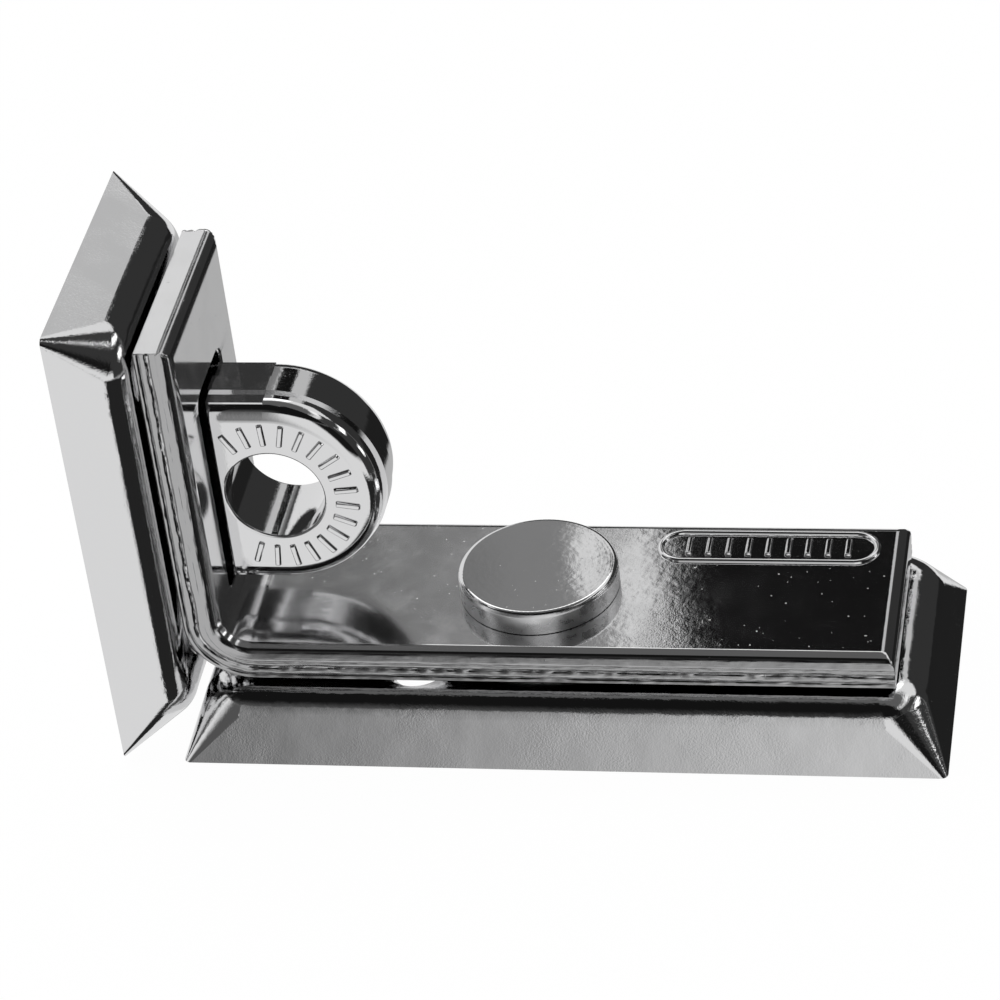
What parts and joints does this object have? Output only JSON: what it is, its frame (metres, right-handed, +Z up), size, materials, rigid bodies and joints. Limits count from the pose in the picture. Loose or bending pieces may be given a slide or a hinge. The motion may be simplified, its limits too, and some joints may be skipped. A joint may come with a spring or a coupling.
{
  "type": "security hasp",
  "caption": "Right-angle hasp: a bent steel arm swivels on a pressed tray base, and its slotted leg closes over a forged padlock staple on a standing tray base.",
  "frame": {"origin": "on the pivot axis, on the swivel base's mounting plane, which is also the middle of the part's box at its bottom", "axes": "+X along the arm away from the staple, +Y to the back, +Z up along the pivot, away from the door"},
  "size_m": [0.1028, 0.0382, 0.0635],
  "materials": {
    "tray_chrome": "bright chrome plate on pressed sheet steel",
    "staple_chrome": "bright chrome plate on a forging, finely pitted",
    "arm_chrome": "bright chrome plate on blanked plate, sheared edges",
    "rivet_chrome": "bright chrome plate on a turned head",
    "washer_steel": "plain steel"
  },
  "bodies": {
    "base": {"swivel_base": "tray_chrome", "pivot_rivet": "rivet_chrome", "thrust_washer": "washer_steel", "tail_washer": "washer_steel"},
    "arm": {"hasp_arm": "arm_chrome"},
    "staple_unit": {"staple_base": "tray_chrome", "staple": "staple_chrome"}
  },
  "joints": [
    {"name": "arm_swivel", "type": "hinge", "parent": "base", "child": "arm", "pos_m": [0, 0, 0.0094], "axis": [0, 0, 1], "range_deg": [0, 180]},
    {"name": "staple_slide", "type": "slide", "parent": "arm", "child": "staple_unit", "axis": [-1, 0, 0], "range_m": [0, 0.0451]}
  ],
  "couplings": [
    {"joint": "staple_slide", "follows": "arm_swivel", "m_per_rad": 0.014324}
  ]
}
